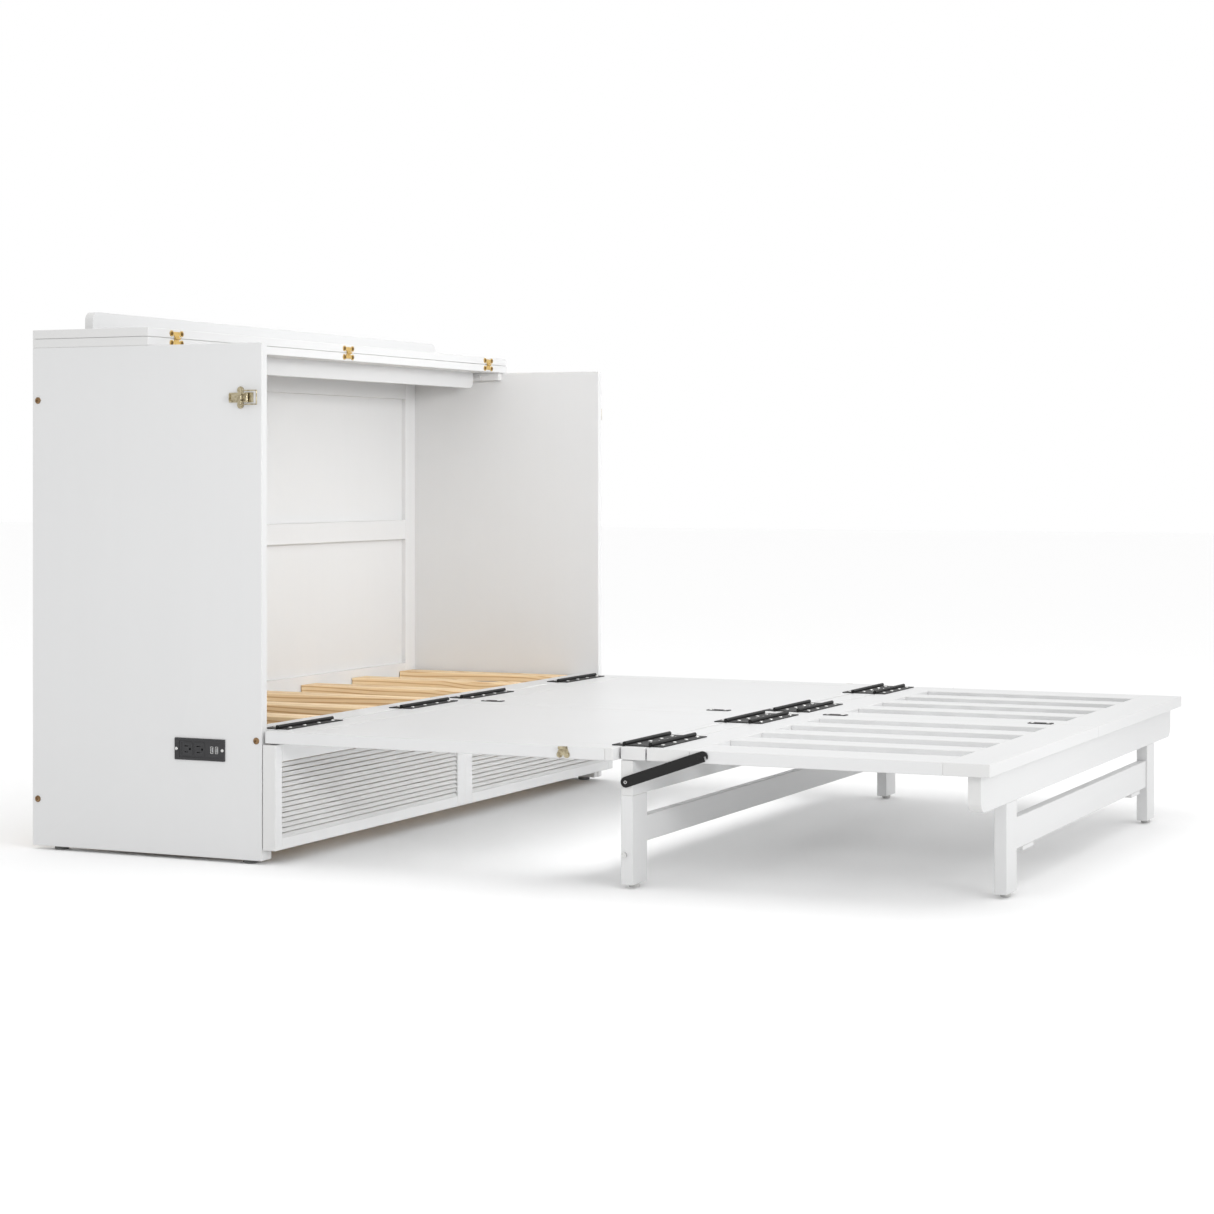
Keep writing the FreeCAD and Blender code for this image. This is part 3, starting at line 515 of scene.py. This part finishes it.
# ---------------------------------------------------------------- lid hinges
# Three small brass butterfly hinges on the meeting edges of the two top
# boards: two ears on each board and a short rolled barrel between them.
lid_hinge_centres = (-0.716, -0.004, 0.713)
ear_step = 0.0185
ear_rise = 0.010
lid_leaf = 0.0016
brass = drifted_metal("brass_plate", (0.80, 0.56, 0.20), (0.40, 0.25, 0.07), 0.24, 0.12)
dark_brass = drifted_metal("dark_brass", (0.20, 0.115, 0.035), (0.07, 0.035, 0.012), 0.3, 0.2)
finish_nodes(brass, "top_hinge_leaves", "lid_hinge_leaves")
ear_screw = driven_head(pan_levels, cross(0.0021, 0.0009), 0.0044, 0.00135, 0.0001)
ear_x = [pivot["lid_fold"].x + x + side * ear_step for x in lid_hinge_centres for side in (-1, 1)]
ear_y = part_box("top_board")[0].y - lid_leaf
for name, body, rise in (("top_board_ear_screws", "cabinet", -ear_rise),
                         ("lid_ear_screws", "lid", ear_rise)):
    stamp(name, ear_screw, [(x, ear_y, pivot["lid_fold"].z + rise) for x in ear_x], (0, -1, 0),
          body, dark_brass)

# ---------------------------------------------------------------- latches
# A toggle latch on each side panel: a pressed base, a bent lever and a wire
# loop, all in pale yellow zinc plate, and a hook on the panel's edge for it.
latch_base_thickness = 0.002
latch_screw_behind = 0.018    # behind the lever's pin
latch_screw_rise = 0.015      # above and below the pin's middle
catch_hook = 0.008            # hook, out from the panel's edge
catch_plate = 0.0016
catch_screw_step = 0.0075
catch_screw_drop = 0.0185     # below the top of the hinge leaves
latch_plate = drifted_metal("latch_plate", (0.56, 0.50, 0.35), (0.17, 0.125, 0.065), 0.22, 0.2)
for side in ("left", "right"):
    finish_nodes(latch_plate, "latch_base_" + side, "latch_lever_" + side, "latch_loop_" + side)
finish_nodes(latch_plate, "panel_catches")
latch_screw = driven_head(pan_levels, cross(0.0022, 0.0009), 0.0044, 0.0020, 0.00036)
for side, name in ((-1, "left"), (1, "right")):
    face = side * (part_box("side_panel_right")[1].x + latch_base_thickness)
    pin = pivot["latch_lever_%s_turn" % name]
    places = [(face, pin.y + latch_screw_behind, pin.z + e * latch_screw_rise) for e in (-1, 1)]
    stamp("latch_screws_" + name, latch_screw, places, (side, 0, 0), "cabinet",
          latch_plate)

catch_low, catch_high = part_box("panel_catches")
catch_middle = (catch_low + catch_high) / 2
catch_screw = driven_head(pan_levels, cross(0.0019, 0.0008), 0.0038, 0.0017, 0.00035)
for side, name in ((-1, "left"), (1, "right")):
    face = side * (catch_high.x - catch_hook + catch_plate)
    stamp("catch_screws_" + name, catch_screw,
          [(face, catch_middle.y + step, leaf_top - catch_screw_drop)
           for step in (-catch_screw_step, catch_screw_step)],
          (side, 0, 0), "mid_panel", latch_plate)

# ---------------------------------------------------------------- folding panel
# Two framed halves with flush boards and a strip across the far end, glued up
# in pine and lacquered white on all sides. It is also the cabinet's door.
finish_nodes(lacquer_along, "mid_stiles", "mid_panels")
finish_nodes(lacquer_across, "mid_rails")

# ---------------------------------------------------------------- bridge rail
# The narrow board between the two inner fold lines, plain and lacquered.
finish_nodes(lacquer_across, "bridge_rail")

# ---------------------------------------------------------------- foot section
# Two half frames of pine boards with gaps between them, screwed to rails at
# both ends and to battens below, lacquered white.
finish_nodes(lacquer_across, "foot_rails")
finish_nodes(lacquer_along, "foot_boards", "foot_underframe")

# ---------------------------------------------------------------- mending plates
# Small black coated plates that join the two halves over the middle line, each
# held by four small cross-recessed screws.
plate_below_leaf = 0.0004
plate_half = 0.025
screw_across = 0.006
screw_along = 0.017
finish_nodes(black_coat, "mid_plates", "foot_plates")
small_screw = driven_head(pan_levels, cross(0.0017, 0.0007), 0.0034, 0.0013, 0.00035)
for node, body in (("mid_plates", "mid_panel"), ("foot_plates", "foot_section")):
    low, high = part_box(node)
    places = [(dx, end + dy, leaf_top - plate_below_leaf)
              for end in (low.y + plate_half, high.y - plate_half)
              for dx in (-screw_across, screw_across) for dy in (-screw_along, screw_along)]
    stamp(node + "_screws", small_screw, places, (0, 0, 1), body, zinc)

# ---------------------------------------------------------------- leg frames
# Two frames of pine, each a rail, two legs and a stretcher, that fold up on
# zinc butt hinges. Small moulded glides finish the feet.
finish_nodes(lacquer_across, "leg1_rail", "leg1_stretcher", "leg2_rail", "leg2_stretcher")
finish_nodes(lacquer_up, "leg1_legs", "leg2_legs")
finish_nodes(zinc, "leg1_hinge_tops", "leg2_hinge_tops", "leg2_hinge_leaves", "leg1_fittings")
leg_glide_radius = 0.010
pale_plastic = moulded("pale_glide_plastic", (0.52, 0.52, 0.51), 0.45)
for node, body in (("leg1_glides", "leg_frame_1"), ("leg2_glides", "leg_frame_2")):
    low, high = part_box(node)
    places = [(x, (low.y + high.y) / 2, 0.0)
              for x in (low.x + leg_glide_radius, high.x - leg_glide_radius)]
    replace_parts(stamp(node[:4] + "_glide_pads", glide(leg_glide_radius, high.z), places,
                      (0, 0, 1), body, pale_plastic), node)

# ---------------------------------------------------------------- stays
# A flat black steel arm on each side, riveted to the leg frame, with a notch
# and a stud at its free end. A zinc peg on the leg stops it when it hangs.
finish_nodes(black_coat, "stay_left", "stay_right")
rivet_radius = 0.0053
rivet_top = 0.0019
bar_proud = 0.0016
rivet = turned(((rivet_radius, 0.0), (rivet_radius, 0.0009), (rivet_radius * 0.94, 0.0015),
                (rivet_radius * 0.8, 0.0019), (rivet_radius * 0.6, 0.0020)))
rolled_lip = turned(((0.0031, 0.0), (0.0031, 0.0003), (0.0027, 0.0006), (0.0022, 0.0005),
                     (0.0018, 0.0001)))
rivet_bore = turned(((0.0019, 0.0), (0.0019, 0.00018), (0.0012, 0.00022), (0.0005, 0.00023)))
for side, name in ((-1, "left"), (1, "right")):
    low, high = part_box("stay_" + name)
    bar_face = (low.x if side < 0 else high.x) - side * bar_proud
    joint = pivot["stay_%s_swing" % name]
    for part, shape, rise, slot, finish in (
            ("rivet", rivet, 0.0, "black_steel", black_coat),
            ("rivet_lip", rolled_lip, rivet_top, "zinc_steel", zinc),
            ("rivet_bore", rivet_bore, rivet_top, "black_steel", black_coat)):
        stamp("stay_%s_%s" % (part, name), shape, [(bar_face + side * rise, joint.y, joint.z)],
              (side, 0, 0), "leg_frame_1", finish)

# ---------------------------------------------------------------- drawer
# A louvred front in two bays, lacquered white, on a plain box of sanded pine
# that runs on two zinc-plated steel slides.
finish_nodes(lacquer_across, "drawer_frame", "drawer_louvres")
box_across = bare_pine("drawer_pine_across", "X", (0.0, 0.70, -0.12), 0.0085,
                       (0.77, 0.60, 0.38), (0.56, 0.36, 0.17), 0.4)
box_along = bare_pine("drawer_pine_along", "Y", (0.20, 0.0, -0.12), 0.0085,
                      (0.77, 0.60, 0.38), (0.56, 0.36, 0.17), 0.4)
finish_nodes(box_across, "drawer_ends", "drawer_bottom")
finish_nodes(box_along, "drawer_sides")
finish_nodes(zinc, "drawer_runners", "drawer_slides")

# ---------------------------------------------------------------- studio
# A plain pale floor, even light from all round, a wide soft box overhead, one
# beyond the foot end, a narrow one into the cabinet and a strip under the bed.
bpy.context.scene.view_settings.view_transform = "Standard"
floor_finish, floor_root, floor_place = start_finish("studio_floor")
floor_grain = floor_root.speckle(floor_place, 40.0, 3.0)
floor_shade = floor_grain.between((0.972, 0.972, 0.972), (0.985, 0.985, 0.985))
close_finish(floor_root, {"Base Color": floor_shade, "Roughness": 0.9}, floor_grain, 0.0001)
floor_reach = 30
floor_mesh = bpy.data.meshes.new("studio_floor")
floor_corners = [(x * floor_reach, y * floor_reach, 0) for x, y in ((-1, -1), (1, -1), (1, 1), (-1, 1))]
floor_mesh.from_pydata(floor_corners, [], [(0, 1, 2, 3)])
floor_mesh.materials.append(floor_finish)
studio_floor = bpy.data.objects.new("studio_floor", floor_mesh)
bpy.context.scene.collection.objects.link(studio_floor)

world = bpy.data.worlds.new("studio_air")
world.use_nodes = True
world.node_tree.nodes["Background"].inputs["Color"].default_value = (1.0, 1.0, 1.0, 1.0)
world.node_tree.nodes["Background"].inputs["Strength"].default_value = 1.0
bpy.context.scene.world = world


def soft_box(name, place, target, width, height, watts, spread):
    light = bpy.data.lights.new(name, "AREA")
    light.spread = math.radians(spread)
    light.shape = "RECTANGLE"
    light.size = width
    light.size_y = height
    light.energy = watts
    lamp = bpy.data.objects.new(name, light)
    lamp.location = place
    lamp.rotation_euler = (Vector(target) - Vector(place)).to_track_quat("-Z", "Y").to_euler()
    bpy.context.scene.collection.objects.link(lamp)


soft_box("box_overhead", (0.0, -0.6, 3.6), (0.0, 0.0, 0.2), 4.0, 4.0, 30.0, 180.0)
soft_box("box_front", (-1.0, -9.0, 1.2), (0.0, 0.4, 0.3), 6.0, 2.0, 50.0, 180.0)
soft_box("box_inside", (-2.1, -3.0, 1.5), (0.50, 0.82, 0.62), 1.4, 1.0, 5.0, 34.0)
soft_box("box_under", (0.0, -0.28, 0.16), (0.0, 0.47, 0.12), 1.3, 0.10, 2.1, 120.0)

view = bpy.data.cameras.new("view")
view.lens = 77.10
view.sensor_width = 36.0
view.shift_y = -0.109
view.clip_end = 100.0
camera = bpy.data.objects.new("view", view)
camera.location = (-5.3087, -2.3588, 0.7904)
camera.rotation_euler = (math.radians(90.0), 0.0, math.radians(-65.335))
bpy.context.scene.collection.objects.link(camera)
bpy.context.scene.camera = camera
